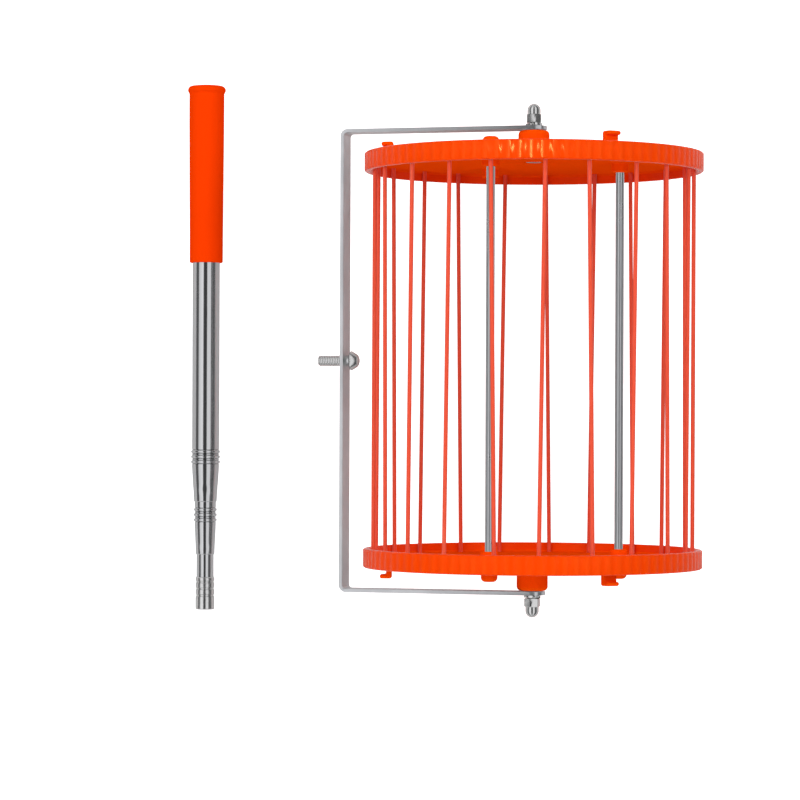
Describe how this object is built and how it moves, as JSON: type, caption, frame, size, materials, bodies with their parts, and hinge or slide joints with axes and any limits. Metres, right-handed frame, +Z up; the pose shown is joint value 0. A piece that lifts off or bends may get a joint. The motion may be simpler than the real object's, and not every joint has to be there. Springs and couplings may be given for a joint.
{
  "type": "rolling fruit picker",
  "caption": "Rolling drum of elastic cords between two plastic wheels, carried in a U-shaped steel bracket, with a telescopic pole that screws onto the bracket's stud.",
  "frame": {"origin": "floor level, under the middle of the set's box: the drum and the pole beside it", "axes": "+Z up; the drum's axle and the pole lie along Y, the grip end at +Y; the drum is at +X and the pole at -X"},
  "size_m": [0.3722, 0.389, 0.24],
  "materials": {
    "wheel_plastic": "satin moulded orange polypropylene",
    "elastic_cord": "smooth coral-red elastic cord",
    "zinc_bar": "bright zinc plate",
    "bright_hardware": "nickel plate",
    "tube_steel": "drawn steel",
    "stainless_tube": "polished stainless steel",
    "grip_vinyl": "soft satin orange vinyl",
    "nylon_bush": "natural nylon"
  },
  "bodies": {
    "bracket": {"bracket_bar": "zinc_bar", "left_axle_bolt": "bright_hardware", "right_axle_bolt": "bright_hardware", "left_axle_sleeve": "tube_steel", "right_axle_sleeve": "tube_steel", "left_flat_washer": "bright_hardware", "right_flat_washer": "bright_hardware", "left_spring_washer": "bright_hardware", "right_spring_washer": "bright_hardware", "left_cap_nut": "bright_hardware", "right_cap_nut": "bright_hardware"},
    "drum": {"left_wheel": "wheel_plastic", "right_wheel": "wheel_plastic", "tie_tube_1": "tube_steel", "tie_tube_2": "tube_steel", "tie_tube_3": "tube_steel", "cord_strands": "elastic_cord", "cord_loops": "elastic_cord", "cord_knots": "elastic_cord"},
    "stud": {"pole_stud": "bright_hardware"},
    "pole_outer": {"pole_grip": "grip_vinyl", "outer_tube": "stainless_tube"},
    "pole_middle": {"middle_tube": "stainless_tube", "middle_bush": "nylon_bush"},
    "pole_inner": {"inner_tube": "stainless_tube", "inner_bush": "nylon_bush", "pole_socket": "bright_hardware"}
  },
  "joints": [
    {"name": "drum_spin", "type": "hinge", "parent": "bracket", "child": "drum", "pos_m": [0.06615, -0.011, 0.12], "axis": [0, 1, 0], "continuous": true},
    {"name": "stud_travel", "type": "slide", "parent": "bracket", "child": "stud", "axis": [-0.9659, 0, -0.2588], "range_m": [0, 0.003]},
    {"name": "pole_apart", "type": "slide", "parent": "bracket", "child": "pole_outer", "axis": [-1, 0, 0], "range_m": [0, 0.25]},
    {"name": "pole_middle_slide", "type": "slide", "parent": "pole_outer", "child": "pole_middle", "axis": [0, -1, 0], "range_m": [0, 0.235]},
    {"name": "pole_inner_slide", "type": "slide", "parent": "pole_middle", "child": "pole_inner", "axis": [0, -1, 0], "range_m": [0, 0.235]}
  ]
}
